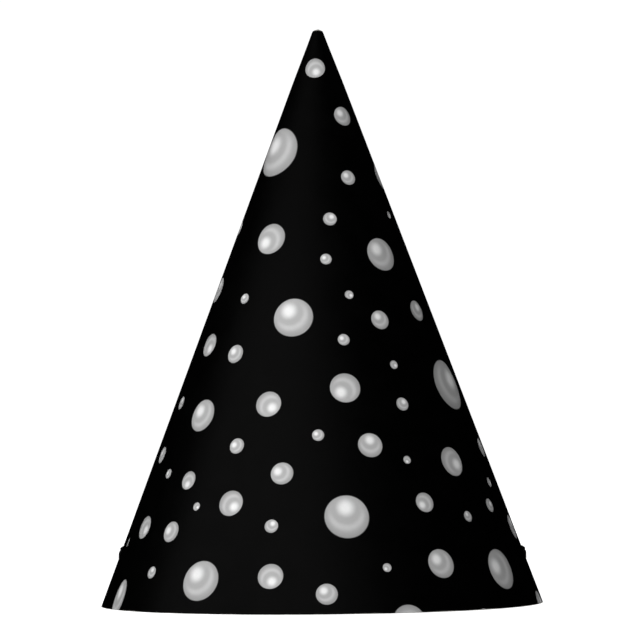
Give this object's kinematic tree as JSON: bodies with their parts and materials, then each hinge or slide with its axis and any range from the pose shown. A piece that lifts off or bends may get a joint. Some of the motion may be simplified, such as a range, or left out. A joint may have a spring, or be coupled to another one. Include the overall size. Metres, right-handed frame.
{
  "type": "party hat",
  "caption": "Cone party hat rolled from black card printed with round pearls, lapped at the back, with a knotted chin elastic.",
  "frame": {"origin": "centre of the rim's plane, which is the surface that the hat stands on", "axes": "+Z from the rim up to the tip, -Y to the front, +X to the hat's right-hand side as seen from the front, and the lapped seam at the back, +Y"},
  "size_m": [0.15, 0.15, 0.195],
  "materials": {
    "printed_card": "satin black print with grey pearls outside, plain white inside",
    "clear_tape": "matt double-sided adhesive tape",
    "black_elastic": "braided round elastic"
  },
  "bodies": {
    "root": {"paper_cone": "printed_card", "seam_tape": "clear_tape", "elastic_cord": "black_elastic", "knot_left": "black_elastic", "knot_right": "black_elastic"}
  },
  "joints": []
}
